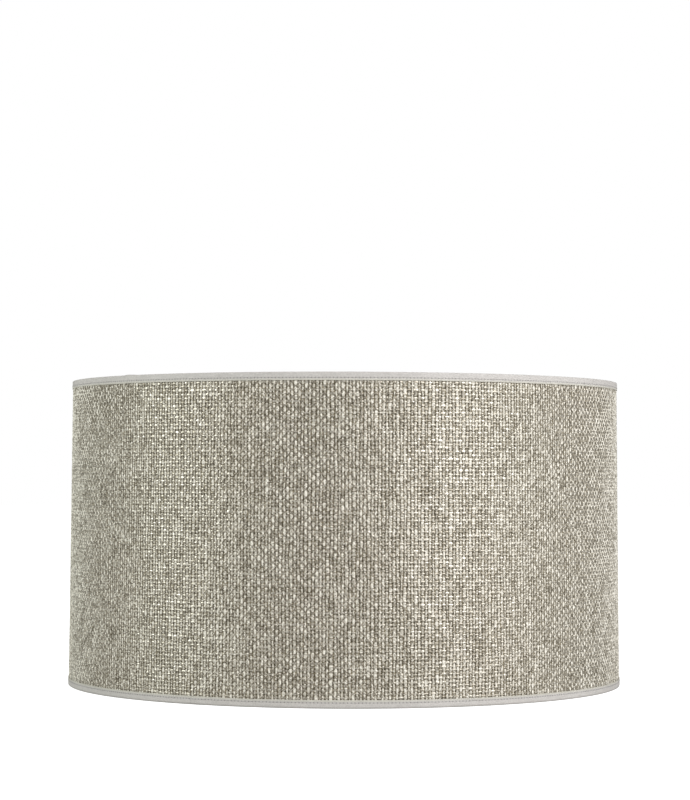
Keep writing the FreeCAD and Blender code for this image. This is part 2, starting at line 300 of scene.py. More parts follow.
# ---------------------------------------------------------------- materials
def weave_material():
    """Plain weave. Matt warp floats stand up as upright ovals, silkier weft floats lie across between
    them, and the gaps beside them are deep, with painted shade in them. All of it is by thread coordinates."""
    t = Tree("woven_slub")
    M = t.math
    u, v, _ = t.split(t.uv("cloth"))
    i, j = M("FLOOR", u), M("FLOOR", v)
    a = M("SUBTRACT", M("SUBTRACT", u, i), 0.5)
    b = M("SUBTRACT", M("SUBTRACT", v, j), 0.5)
    aa, ab = M("ABSOLUTE", a), M("ABSOLUTE", b)
    p = M("FLOORED_MODULO", M("ADD", i, j), 2.0)          # 1 where the weft is on top
    # distance along each float from its own middle, which may be in the next cell
    bw = t.mix(p, ab, M("SUBTRACT", 1.0, ab))
    af = t.mix(p, M("SUBTRACT", 1.0, aa), aa)
    jw = M("MULTIPLY_ADD", p, M("SIGN", b), j)
    iff = M("MULTIPLY_ADD", M("SUBTRACT", 1.0, p), M("SIGN", a), i)
    rw = M("SUBTRACT", t.white2(i, M("ADD", jw, 0.31)), 0.5)
    rf = M("SUBTRACT", t.white2(M("ADD", iff, 700.43), j), 0.5)
    # slubs: slow swelling along each yarn
    i7, j7 = M("MULTIPLY", i, 7.13), M("MULTIPLY", j, 7.13)
    sw = M("SUBTRACT", t.noise(t.vec(i7, M("MULTIPLY", v, 0.34), 3.0), 1.0, 2.0, 0.6), 0.5)
    sf = M("SUBTRACT", t.noise(t.vec(M("MULTIPLY", u, 0.30), j7, 11.0), 1.0, 2.0, 0.6), 0.5)

    def over(size, *terms):
        f = 1.0
        for k, q in terms:
            f = M("MULTIPLY_ADD", q, k, f)
        return M("MULTIPLY", f, size)

    wa, wb = over(WARP_A, (0.48, sw), (0.20, rw)), over(WARP_B, (0.20, rw))
    fa, fb = over(WEFT_A, (0.20, rf)), over(WEFT_B, (0.75, sf), (0.22, rf))

    def float_of(across, width, along, length):
        """1 on a float's middle line, 0 on its edge: round across, blunt at its two ends."""
        c, l = M("DIVIDE", across, width), M("DIVIDE", along, length)
        c2, l4 = M("MULTIPLY", c, c), M("POWER", l, 4.0)
        return M("SUBTRACT", 1.0, M("ADD", c2, l4)), c2, l4

    w, wc, wl = float_of(aa, wa, bw, wb)
    f, fc, fl = float_of(ab, fb, af, fa)
    weft = t.step(M("SUBTRACT", f, w), -0.12, 0.12)
    top = M("MAXIMUM", w, f)
    # fibres run along each yarn
    fw = M("SUBTRACT", t.noise(t.vec(M("MULTIPLY", u, 6.5), M("MULTIPLY", v, 2.0), 5.0), 1.0, 3.0, 0.65), 0.5)
    ff = M("SUBTRACT", t.noise(t.vec(M("MULTIPLY", u, 2.0), M("MULTIPLY", v, 6.5), 8.0), 1.0, 3.0, 0.65), 0.5)
    fleck = M("SUBTRACT", t.noise(t.vec(M("MULTIPLY", u, 3.0), M("MULTIPLY", v, 3.0), 21.0), 1.0, 2.0, 0.7), 0.5)
    fibre = t.mix(weft, fw, ff)
    # short fibre ends that stand off the yarn, some light and some dark
    speck = M("SUBTRACT", t.white2(M("FLOOR", M("MULTIPLY_ADD", u, 2.6, M("MULTIPLY", v, 0.37))), M("FLOOR", M("MULTIPLY", v, 3.1))), 0.5)
    fleck = M("MULTIPLY_ADD", speck, 1.20, fleck)
    tone_w = M("MULTIPLY_ADD", sw, 0.28, M("MULTIPLY_ADD", rw, 0.34, M("MULTIPLY_ADD", fleck, 0.82, M("MULTIPLY_ADD", fw, 1.00, 0.50))), clamp=True)
    tone_f = M("MULTIPLY_ADD", sf, 0.30, M("MULTIPLY_ADD", rf, 0.34, M("MULTIPLY_ADD", fleck, 0.60, M("MULTIPLY_ADD", ff, 0.85, 0.50))), clamp=True)
    warp_colour = t.ramp(tone_w, WARP_RAMP)
    weft_colour = t.ramp(tone_f, WEFT_RAMP)
    colour = t.mixc(weft, warp_colour, weft_colour)
    # the gaps: the yarns' own sides, deep in the cloth, coloured dark as painted shade
    deep = t.step(top, GAP[0], GAP[1])
    gap_shade_colour = t.ramp(M("MULTIPLY_ADD", fleck, 0.7, 0.5, clamp=True), GAP_SHADE_RAMP)
    colour = t.mixc(deep, gap_shade_colour, colour)
    # slow drift of hue in patches
    patch = t.noise(t.vec(M("MULTIPLY", u, 0.020), M("MULTIPLY", v, 0.012), 2.0), 1.0, 2.0, 0.5)
    hue = M("MULTIPLY_ADD", M("SUBTRACT", patch, 0.5), 1.6, 0.5, clamp=True)
    tint = t.mixc(hue, (0.985, 1.0, 0.990, 1.0), (1.01, 0.994, 0.985, 1.0))
    colour = t.mixc(1.0, colour, tint, "MULTIPLY")
    # a float is round across and nearly straight along
    hw = M("SUBTRACT", 1.0, M("MULTIPLY_ADD", wl, 0.25, M("MULTIPLY", wc, 0.80)))
    hf = M("SUBTRACT", 1.0, M("MULTIPLY_ADD", fl, 0.05, M("MULTIPLY", fc, 0.55)))
    height = t.step(M("MAXIMUM", hw, hf), -0.6, 1.1, smooth=False)
    height = M("MULTIPLY_ADD", fibre, 0.22, height)
    rough = t.mix(weft, ROUGH[0], ROUGH[1])
    rough = t.mix(deep, 0.85, rough)
    rough = M("MULTIPLY_ADD", fibre, 0.22, rough, clamp=True)
    silk = M("MULTIPLY", M("MULTIPLY", weft, SILK), t.step(top, -0.10, 0.35))
    t.set(Base_Color=colour, Metallic=silk, Roughness=rough, Normal=t.bump(height, BUMP[0], BUMP[1]))
    t.b.inputs["Specular IOR Level"].default_value = 0.25
    return t.m


def ribbon_material():
    """Fine ribbed tape. UV is stitches along the rim and millimetres across the tape."""
    t = Tree("ribbed_tape")
    M = t.math
    st, v, _ = t.split(t.uv("cloth"))
    u = M("MULTIPLY", st, PITCH)
    rib = M("SINE", M("MULTIPLY", u, 2 * math.pi / 0.62))
    pick = M("SINE", M("MULTIPLY", v, 2 * math.pi / 0.45))
    fibre = t.noise(t.vec(M("MULTIPLY", u, 2.4), M("MULTIPLY", v, 5.0), 1.0), 1.0, 4.0, 0.65)
    grain = t.noise(t.vec(M("MULTIPLY", u, 0.95), M("MULTIPLY", v, 1.05), 14.0), 1.0, 2.0, 0.6)
    mottle = t.noise(t.vec(M("MULTIPLY", u, 0.16), M("MULTIPLY", v, 0.28), 4.0), 1.0, 3.0, 0.55)
    cloud = t.noise(t.vec(M("MULTIPLY", u, 0.012), M("MULTIPLY", v, 0.02), 7.0), 1.0, 2.0, 0.5)
    tone = M("MULTIPLY_ADD", M("SUBTRACT", fibre, 0.5), 0.45, 0.52)
    tone = M("MULTIPLY_ADD", M("SUBTRACT", grain, 0.5), 0.95, tone)
    tone = M("MULTIPLY_ADD", M("SUBTRACT", mottle, 0.5), 0.42, tone)
    tone = M("MULTIPLY_ADD", M("SUBTRACT", cloud, 0.5), 0.35, tone)
    tone = M("MULTIPLY_ADD", rib, 0.045, tone, clamp=True)
    colour = t.ramp(tone, [
        (0.10, (0.388, 0.369, 0.347)),
        (0.50, (0.538, 0.512, 0.482)),
        (0.95, (0.700, 0.670, 0.634)),
    ])
    # the woven edge is yellower, and the turned edge a little worn
    lip = t.step(v, 0.6, 2.0, 1.0, 0.0)
    colour = t.mixc(M("MULTIPLY", lip, 0.80), colour, t.ramp(tone, [
        (0.10, (0.398, 0.380, 0.322)), (0.50, (0.540, 0.518, 0.442)), (0.95, (0.675, 0.650, 0.566))]))
    wear = M("MULTIPLY", t.step(v, 6.4, 7.6), t.step(v, 8.2, 9.4, 1.0, 0.0))
    wear = M("MULTIPLY", wear, t.step(mottle, 0.52, 0.70))
    colour = t.mixc(M("MULTIPLY", wear, 0.30), colour, (0.66, 0.64, 0.61, 1.0))
    # painted shade in the needle holes where each stitch goes through, on both leaves, and along the furrow they lie in
    along = M("MULTIPLY", M("SUBTRACT", st, M("FLOOR", M("ADD", st, 0.5))), PITCH)
    across = M("MINIMUM", M("ABSOLUTE", M("SUBTRACT", v, ROW_OUT)), M("ABSOLUTE", M("SUBTRACT", v, ROW_IN)))
    d = M("SQRT", M("ADD", M("MULTIPLY", along, along), M("MULTIPLY", across, across)))
    hole = t.step(d, 0.34, 0.85, 1.0, 0.0)
    furrow = t.step(across, 0.25, 0.75, 1.0, 0.0)
    colour = t.mixc(M("MULTIPLY", furrow, 0.09), colour, (0.20, 0.19, 0.175, 1.0))
    colour = t.mixc(M("MULTIPLY", hole, 0.55), colour, (0.095, 0.088, 0.078, 1.0))
    # painted shade along the edge that it stands on, darker towards the bottom and patchy with the mottle
    bottom_edge_shade = t.step(t.split(t.obj())[2], 0.0004, 0.0022, 1.0, 0.0)
    colour = t.mixc(M("MULTIPLY", bottom_edge_shade, M("MULTIPLY_ADD", mottle, 0.5, 0.30)), colour, (0.27, 0.255, 0.23, 1.0))
    height = M("ADD", M("MULTIPLY_ADD", rib, 0.5, M("MULTIPLY", pick, 0.18)), M("MULTIPLY_ADD", grain, 1.2, fibre))
    height = M("MULTIPLY_ADD", hole, -1.6, height)
    t.set(
        Base_Color=colour,
        Roughness=M("MULTIPLY_ADD", M("SUBTRACT", fibre, 0.5), 0.3, 0.62, clamp=True),
        Normal=t.bump(height, 0.45, 0.00012),
    )
    t.b.inputs["Specular IOR Level"].default_value = 0.5
    return t.m


def thread_material():
    t = Tree("sewing_thread")
    u, v, _ = t.split(t.uv("cloth"))
    ply = t.math("SINE", t.math("ADD", t.math("MULTIPLY", u, 14.0), t.math("MULTIPLY", v, 6.2832)))
    fuzz = t.noise(t.vec(u, v, 0.0), 3.0, 3.0, 0.6)
    tone = t.math("MULTIPLY_ADD", ply, 0.16, t.math("MULTIPLY_ADD", t.math("SUBTRACT", fuzz, 0.5), 0.6, 0.5), clamp=True)
    t.set(
        Base_Color=t.ramp(tone, [(0.1, (0.33, 0.315, 0.30)), (0.6, (0.47, 0.452, 0.43)), (1.0, (0.60, 0.58, 0.555))]),
        Roughness=t.math("MULTIPLY_ADD", fuzz, 0.2, 0.42),
        Normal=t.bump(ply, 0.5, 0.00006),
    )
    t.b.inputs["Specular IOR Level"].default_value = 0.45
    return t.m


def liner_material():
    """Stiff white sheet: faint embossed grain, slow ripples, a slightly warm drift."""
    t = Tree("white_sheet")
    p = t.obj()
    x, y, z = t.split(p)
    grain = t.noise(p, 900.0, 2.0, 0.6)
    ripple = t.noise(t.vec(t.math("MULTIPLY", x, 14.0), t.math("MULTIPLY", y, 14.0), t.math("MULTIPLY", z, 2.2)), 1.0, 2.0, 0.5)
    weave = t.noise(t.vec(t.math("MULTIPLY", x, 260.0), t.math("MULTIPLY", y, 260.0), t.math("MULTIPLY", z, 280.0)), 1.0, 1.0, 0.5)
    haze = t.noise(p, 9.0, 4.0, 0.55)
    tone = t.math("MULTIPLY_ADD", t.math("SUBTRACT", haze, 0.5), 0.9, 0.5)
    tone = t.math("MULTIPLY_ADD", t.math("SUBTRACT", weave, 0.5), 0.35, tone, clamp=True)
    t.set(
        Base_Color=t.ramp(tone, [(0.0, (0.70, 0.685, 0.645)), (0.5, (0.79, 0.78, 0.75)), (1.0, (0.85, 0.845, 0.825))]),
        Roughness=t.math("MULTIPLY_ADD", t.math("SUBTRACT", haze, 0.5), 0.28, 0.40, clamp=True),
        Normal=t.bump(t.math("ADD", t.math("MULTIPLY", grain, 0.12), t.math("MULTIPLY_ADD", ripple, 1.6, t.math("MULTIPLY", weave, 0.10))), 0.35, 0.0006),
    )
    t.b.inputs["Specular IOR Level"].default_value = 0.5
    return t.m


def coat_material(name, scale=1.0):
    """White powder coat with orange peel, and greyer steel where it is thin."""
    t = Tree(name)
    p = t.obj()
    peel = t.noise(p, 1400.0 * scale, 2.0, 0.5)
    pits = t.noise(p, 420.0 * scale, 3.0, 0.6)
    dust = t.noise(p, 60.0, 4.0, 0.6)
    tone = t.math("MULTIPLY_ADD", t.math("SUBTRACT", dust, 0.5), 0.8, 0.5, clamp=True)
    colour = t.ramp(tone, [(0.0, (0.66, 0.655, 0.635)), (0.5, (0.79, 0.788, 0.775)), (1.0, (0.86, 0.86, 0.852))])
    chip = t.step(pits, 0.70, 0.75)
    colour = t.mixc(t.math("MULTIPLY", chip, 0.6), colour, (0.38, 0.375, 0.37, 1.0))
    t.set(
        Base_Color=colour,
        Roughness=t.math("MULTIPLY_ADD", t.math("SUBTRACT", pits, 0.5), 0.35, 0.36, clamp=True),
        Normal=t.bump(t.math("MULTIPLY_ADD", peel, 0.5, t.math("MULTIPLY", pits, 0.5)), 0.35, 0.00018),
    )
    t.b.inputs["Specular IOR Level"].default_value = 0.5
    t.b.inputs["Coat Weight"].default_value = 0.15
    t.b.inputs["Coat Roughness"].default_value = 0.2
    return t.m


def tape_material():
    t = Tree("clear_adhesive")
    p = t.obj()
    bubble = t.noise(p, 300.0, 3.0, 0.6)
    t.set(
        Base_Color=t.ramp(bubble, [(0.3, (0.66, 0.62, 0.50)), (0.7, (0.80, 0.78, 0.70))]),
        Roughness=t.math("MULTIPLY_ADD", bubble, 0.3, 0.25),
        Normal=t.bump(bubble, 0.3, 0.0001),
    )
    return t.m


MAT = {
    "cover": weave_material(), "binding": ribbon_material(), "thread": thread_material(),
    "liner": liner_material(), "ring_wire": coat_material("wire_coat"),
    "fitter_metal": coat_material("fitter_coat", 0.8), "tape": tape_material(),
}


def finish_piece(ob, slot, *replaced):
    ob.data.materials.clear()
    ob.data.materials.append(MAT[slot])
    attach(ob, "root")
    if replaced:
        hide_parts(*replaced)
    return ob


# ---------------------------------------------------------------- woven cover
def woven_cover():
    rng = np.random.default_rng(41)
    us = np.array((1, 3, 5)) / 6
    U = np.concatenate([[0], (np.arange(N_WARP)[:, None] + us[None]).ravel(), [N_WARP]])
    W = np.concatenate([[0], (np.arange(N_WEFT)[:, None] + us[None]).ravel(), [N_WEFT]])
    u, v = np.meshgrid(U, W)
    i, j = np.minimum(np.floor(u), N_WARP - 1), np.minimum(np.floor(v), N_WEFT - 1)
    a, b = np.abs(u - i - 0.5), np.abs(v - j - 0.5)
    warp_up = (i + j) % 2 == 0
    # yarns wander a little, and swell and thin along their length
    wander_u = 0.105 * smooth_noise(rng, (N_WARP + 1, N_WEFT + 1), (0.0, 2.2)) + 0.03 * rng.standard_normal((N_WARP + 1, 1))
    wander_v = 0.085 * smooth_noise(rng, (N_WARP + 1, N_WEFT + 1), (2.6, 0.0)) + 0.04 * rng.standard_normal((1, N_WEFT + 1))
    bulk_u = smooth_noise(rng, (N_WARP, N_WEFT + 1), (0.0, 2.5))
    bulk_v = smooth_noise(rng, (N_WARP + 1, N_WEFT), (3.5, 0.0))
    fine = rng.standard_normal((N_WARP + 1, N_WEFT + 1))
    wander_u[[0, -1]] = 0
    wander_v[:, [0, -1]] = 0
    ii, jj = i.astype(int), j.astype(int)
    bulk_u = np.clip(bilinear(bulk_u, i, v), -2, 2)
    bulk_v = np.clip(bilinear(bulk_v, u, j), -2, 2)
    along_w = np.where(warp_up, b, 1 - b)
    along_f = np.where(warp_up, 1 - a, a)
    warp = 1 - (a / (WARP_A * 1.06 * (1 + 0.10 * bulk_u))) ** 2 - 0.62 * (along_w / WARP_B) ** 4
    weft = 1 - (b / (WEFT_B * 1.2 * (1 + 0.12 * bulk_v))) ** 2 - 0.30 * (along_f / WEFT_A) ** 2
    h = 0.5 + 0.5 * np.maximum(warp + 0.05 * bulk_u, weft - 0.36 + 0.05 * bulk_v)
    h = np.clip(h + 0.03 * fine[ii, jj], 0.0, 1.0)
    uu = u + bilinear(wander_u, u, v)
    vv = v + bilinear(wander_v, u, v)
    z = T_TRIM + (HEIGHT - 2 * T_TRIM) * vv / N_WEFT
    z = np.clip(z, T_TRIM, HEIGHT - T_TRIM)
    ang = A_START + (A_END - A_START) * uu / N_WARP
    lift = SEAM_STEP * np.clip((ang - (A_JOG - 0.7)) / 0.7, 0, 1)
    lift = SEAM_STEP * (3 * (lift / SEAM_STEP) ** 2 - 2 * (lift / SEAM_STEP) ** 3)
    # the end of the cloth is turned under, so it rounds down
    edge = np.clip((ang - (A_END - 0.10)) / 0.10, 0, 1)
    depth = RELIEF
    # pressed flat under the bindings
    rim = np.clip(1 - np.minimum(z, HEIGHT - z) / 0.0072, 0, 1)
    flat = np.clip(rim * 6, 0, 1)
    h = h * (1 - flat) + (0.80 + 0.12 * h) * flat
    top = outer(z) - T_TRIM + lift
    r = top - depth * (1 - h) - 0.0006 * edge ** 2
    th = np.radians(ang)
    m, n = u.shape
    front = np.stack([r * np.cos(th), r * np.sin(th), z], -1).reshape(-1, 3)
    # the inner face lies on the sheet behind it
    ib = np.array([0, m - 1])
    rb = (outer(z) - T_TRIM - T_FABRIC + lift)[ib]
    back = np.stack([rb * np.cos(th[ib]), rb * np.sin(th[ib]), z[ib]], -1).reshape(-1, 3)
    co = np.concatenate([front, back])
    F = np.arange(m * n).reshape(m, n)
    B = np.arange(2 * n).reshape(2, n) + m * n
    walls = [
        np.stack([B[1, :-1], B[1, 1:], B[0, 1:], B[0, :-1]], -1),
        np.stack([F[0, 1:], F[0, :-1], B[0, :-1], B[0, 1:]], -1),
        np.stack([F[-1, :-1], F[-1, 1:], B[1, 1:], B[1, :-1]], -1),
    ]
    # the two cut ends are fans of triangles to their two inner corners
    ends = []
    for col, flip in ((0, False), (n - 1, True)):
        ring, mid = F[:, col], m // 2
        fan = np.stack([ring[:-1], ring[1:], np.where(np.arange(m - 1) < mid, B[0, col], B[1, col])], -1)
        fan = np.concatenate([fan, [[ring[mid], B[1, col], B[0, col]]]])
        ends.append(fan[:, ::-1] if flip else fan)
    uv = np.concatenate([np.stack([u, v], -1).reshape(-1, 2), np.stack([u[ib], v[ib]], -1).reshape(-1, 2)])
    ob = new_mesh("woven_cover", co, [grid_quads(m, n), np.concatenate(walls), np.concatenate(ends)], uv, flat_after=2)
    return finish_piece(ob, "cover", "fabric_cover")


cover = woven_cover()


# ---------------------------------------------------------------- bindings
def closed_section(path, thick):
    """The tape's section: its outer face out and back along its inner face, with rounded edges."""
    d = np.gradient(path, axis=0)
    d /= np.linalg.norm(d, axis=1)[:, None]
    nrm = np.stack([d[:, 1], -d[:, 0]], -1)
    inner = path + nrm * thick
    e0 = path[0] + nrm[0] * thick / 2 - d[0] * 0.00014
    e1 = path[-1] + nrm[-1] * thick / 2 + d[-1] * 0.00014
    return np.concatenate([path, [e1], inner[::-1], [e0]]), len(path)


def binding(name, top, lap, replaced, seed):
    rng = np.random.default_rng(seed)
    rim = Rim(top)
    path = rim.path()
    n_st = N_WARP
    cols = n_st * 3
    sect, n_out = closed_section(path, 0.00044)
    arc = arc_of(path)
    v_mm = np.concatenate([arc, [arc[-1]], arc[::-1], [0.0]]) * 1000
    S = len(sect)
    ang = np.linspace(0, 360, cols, endpoint=False)
    s = np.broadcast_to(sect[:, 1], (cols, S)).copy()
    r = np.broadcast_to(sect[:, 0], (cols, S)).copy()
    outside = np.zeros(S)
    outside[:17] = 1.0
    outside[n_out + 1 + (n_out - 17):2 * n_out + 1] = 1.0
    outside[-1] = 1.0
    # the leaf's edge wanders, and the leaf is drawn in along the stitches and stands a little between
    wob = smooth_noise(rng, (cols, 1), (26.0, 0), wrap0=True)[:, 0]
    wob2 = smooth_noise(rng, (cols, 1), (9.0, 0), wrap0=True)[:, 0]
    near_edge = outside * np.clip((sect[:, 1] - 0.0040) / 0.0035, 0, 1)
    s += (wob * 0.00007 + wob2 * 0.00004)[:, None] * near_edge[None]
    phase = (np.arange(cols) % 3)
    pull = np.where(phase == 0, 1.0, 0.45)
    dip = np.exp(-(((sect[:, 1] - STITCH_S) / 0.00042) ** 2)) * outside
    r -= 0.00013 * pull[:, None] * dip[None]
    puff = np.exp(-(((sect[:, 1] - 0.0027) / 0.0015) ** 2)) * outside
    r += (0.00005 * wob2 + 0.00006)[:, None] * puff[None]
    # over the lap seam at the back the whole outside leaf steps out
    amod = np.where(ang < A_END - 360 - 180, ang + 360, ang)
    up = np.clip((amod - (A_JOG - 360 - 0.7)) / 0.7, 0, 1) * np.clip(((A_END - 360 + 0.55) - amod) / 0.5, 0, 1)
    r += SEAM_STEP * up[:, None] * outside[None]
    topside = np.zeros(S)
    topside[17:25] = np.linspace(1, 0, 8)
    inner_ix = 2 * n_out - np.arange(17, 25)
    topside[inner_ix] = np.linspace(1, 0, 8)
    r += SEAM_STEP * up[:, None] * topside[None]
    th = np.radians(ang)[:, None]
    z = (HEIGHT - s) if top else s
    co = np.stack([r * np.cos(th), r * np.sin(th), z], -1).reshape(-1, 3)
    idx = np.arange(cols * S).reshape(cols, S)
    keep = np.ones((cols, S), bool)
    if top:   # the inside leaf is slit where each spoke leaves the ring
        half = math.degrees(0.003 / 0.2686)
        inner_leaf = np.zeros(S, bool)
        ring_top = 17 + 7 + 1
        lo_k, hi_k = ring_top, n_out
        inner_leaf[lo_k:hi_k] = True
        inner_leaf[2 * n_out - hi_k + 1:2 * n_out - lo_k] = True
        inner_leaf[n_out] = True
        for a in SPOKES:
            near = np.abs((ang - a + 180) % 360 - 180) < half
            keep[np.ix_(near, inner_leaf)] = False
    nx_c, nx_s = np.roll(idx, -1, 0), np.roll(idx, -1, 1)
    nx_cs = np.roll(nx_c, -1, 1)
    kq = keep & np.roll(keep, -1, 1) & np.roll(keep, -1, 0) & np.roll(np.roll(keep, -1, 0), -1, 1)
    order = [idx, nx_s, nx_cs, nx_c] if top else [idx, nx_c, nx_cs, nx_s]
    quads = np.stack(order, -1)[kq if top else np.ones_like(kq)]
    # corner UVs in stitches along and millimetres across, so that the closing column and row don't wrap
    U0 = ang * n_st / 360
    U0 = np.broadcast_to(U0[:, None], (cols, S))
    du = U0[1, 0]
    V0 = np.broadcast_to(v_mm[None], (cols, S))
    V1 = np.broadcast_to(np.roll(v_mm, -1)[None], (cols, S))
    c00, c01 = np.stack([U0, V0], -1), np.stack([U0, V1], -1)
    c11, c10 = np.stack([U0 + du, V1], -1), np.stack([U0 + du, V0], -1)
    uvq = np.stack([c00, c01, c11, c10] if top else [c00, c10, c11, c01], 2)[kq if top else np.ones_like(kq)]
    # the second layer where the tape's end laps its start
    lapc = 14
    la = np.linspace(lap[0], lap[1], lapc)
    over = path[: (32 if top else 17)]
    d = np.gradient(over, axis=0)
    d /= np.linalg.norm(d, axis=1)[:, None]
    nrm = np.stack([-d[:, 1], d[:, 0]], -1)
    L = []
    for k, g in enumerate(la):
        f = k / (lapc - 1)
        lift = (0.00050 if k > 0 else 0.00034) * (1 - 0.92 * max(0.0, (f - 0.25) / 0.75) ** 1.5)
        under = over - nrm * 0.00010
        sec = np.concatenate([over + nrm * lift, under[::-1]])
        gg = math.radians(g + (0.02 * math.sin(k * 2.1)))
        zz = (HEIGHT - sec[:, 1]) if top else sec[:, 1]
        L.append(np.stack([sec[:, 0] * math.cos(gg), sec[:, 0] * math.sin(gg), zz], -1))
    L = np.array(L)
    SL = L.shape[1]
    li = np.arange(lapc * SL).reshape(lapc, SL) + len(co)
    n1, n2 = np.roll(li, -1, 1), None
    ql = np.stack([li[:-1], n1[:-1], n1[1:], li[1:]] if top else [li[:-1], li[1:], n1[1:], n1[:-1]], -1).reshape(-1, 4)
    varc = np.concatenate([arc[: len(over)], arc[: len(over)][::-1]]) * 1000
    ul = np.broadcast_to((la * n_st / 360 + 131)[:, None], (lapc, SL))
    vl = np.broadcast_to(varc[None], (lapc, SL))
    vuv = np.stack([ul, vl], -1).reshape(-1, 2)
    caps, cap_uv = [], []
    half_n = SL // 2
    for row, flip in ((0, True), (lapc - 1, False)):
        for k in range(half_n - 1):
            q = [li[row, k], li[row, k + 1], li[row, SL - 2 - k], li[row, SL - 1 - k]]
            if flip == top:
                q = q[::-1]
            caps.append(q)
    ql = np.concatenate([ql, np.array(caps)])
    uvl = vuv[ql - len(co)]
    co = np.concatenate([co, L.reshape(-1, 3)])
    allq = np.concatenate([quads, ql])
    uvs = np.concatenate([uvq.reshape(-1, 2), uvl.reshape(-1, 2)])
    used = np.unique(allq)
    remap = np.full(len(co), -1)
    remap[used] = np.arange(len(used))
    ob = new_mesh(name, co[used], remap[allq], uvs)
    if top:
        import bmesh
        bm = bmesh.new()
        bm.from_mesh(ob.data)
        edges = [e for e in bm.edges if e.is_boundary]
        bmesh.ops.holes_fill(bm, edges=edges, sides=0)
        bm.to_mesh(ob.data)
        bm.free()
    finish_piece(ob, "binding", replaced)
    return rim


rim_top = binding("top_binding", True, TOP_LAP, "top_trim", 5)
rim_bottom = binding("bottom_binding", False, BOTTOM_LAP, "bottom_trim", 6)


# ---------------------------------------------------------------- stitches
def stitches(name, rim, lap, replaced, seed):
    """A lockstitch row on the outside leaf and one on the inside, each stitch its own arched thread."""
    rng = np.random.default_rng(seed)
    SEG, SIDES = 7, 8
    verts, quads, uvs = [], [], []
    tt = np.linspace(-1, 1, SEG)
    ca = np.linspace(0, 2 * math.pi, SIDES, endpoint=False)
    base = 0
    step = 360.0 / N_WARP
    for inside in (False, True):
        for k in range(N_WARP):
            a_mid = (k + 0.5) * step + rng.normal(0, 0.010)
            if inside and rim.top and min(abs((a_mid - s + 180) % 360 - 180) for s in SPOKES) < 0.9:
                continue
            lift = 0.0
            m = a_mid
            if A_JOG - 360 - 0.4 < m < A_END - 360 + 0.4:
                lift = SEAM_STEP * (0 if inside else 1)
            if not inside and lap[0] <= m <= lap[1]:
                f = (m - lap[0]) / (lap[1] - lap[0])
                lift += 0.00048 * (1 - 0.92 * max(0.0, (f - 0.25) / 0.75) ** 1.5)
            s_mid = STITCH_S + rng.normal(0, 0.00004)
            slant = rng.normal(0.00010, 0.00003)
            half = 0.5 * step * 0.80
            rad = 0.00019 * (1 + rng.normal(0, 0.05))
            aa = np.radians(a_mid + half * tt)
            arch = 0.00015 * (1 - tt ** 4) - 0.00030 * np.abs(tt) ** 6
            if inside:
                rr = rim.r(s_mid) - T_WALL - T_TRIM - arch
            else:
                rr = rim.r(s_mid) - 0.00006 + arch + lift
            ss = s_mid + slant * tt
            taper = rad * np.sqrt(np.clip(1 - 0.62 * np.abs(tt) ** 6, 0.2, 1))
            rr = rr[:, None] + taper[:, None] * np.cos(ca)[None]
            s2 = ss[:, None] + taper[:, None] * np.sin(ca)[None]
            z = (HEIGHT - s2) if rim.top else s2
            verts.append(np.stack([rr * np.cos(aa)[:, None], rr * np.sin(aa)[:, None], z], -1).reshape(-1, 3))
            idx = np.arange(SEG * SIDES).reshape(SEG, SIDES) + base
            n1 = np.roll(idx, -1, 1)
            q = np.stack([idx[:-1], idx[1:], n1[1:], n1[:-1]], -1).reshape(-1, 4)
            c0 = np.stack([idx[0, [0, 1, 2, 3]], idx[0, [0, 3, 4, 7]], idx[0, [4, 5, 6, 7]]])
            c1 = np.stack([idx[-1, [3, 2, 1, 0]], idx[-1, [7, 4, 3, 0]], idx[-1, [7, 6, 5, 4]]])
            q = np.concatenate([q, c0, c1])
            if (not rim.top) != False:
                q = q[:, ::-1]
            quads.append(q)
            uvs.append(np.stack(np.broadcast_arrays(tt[:, None] + k * 0.37, ca[None] / (2 * math.pi)), -1).reshape(-1, 2))
            base += SEG * SIDES
    ob = new_mesh(name, np.concatenate(verts), np.concatenate(quads), np.concatenate(uvs))
    return finish_piece(ob, "thread", replaced)


stitches("top_stitches", rim_top, TOP_LAP, "top_stitching", 15)
stitches("bottom_stitches", rim_bottom, BOTTOM_LAP, "bottom_stitching", 16)


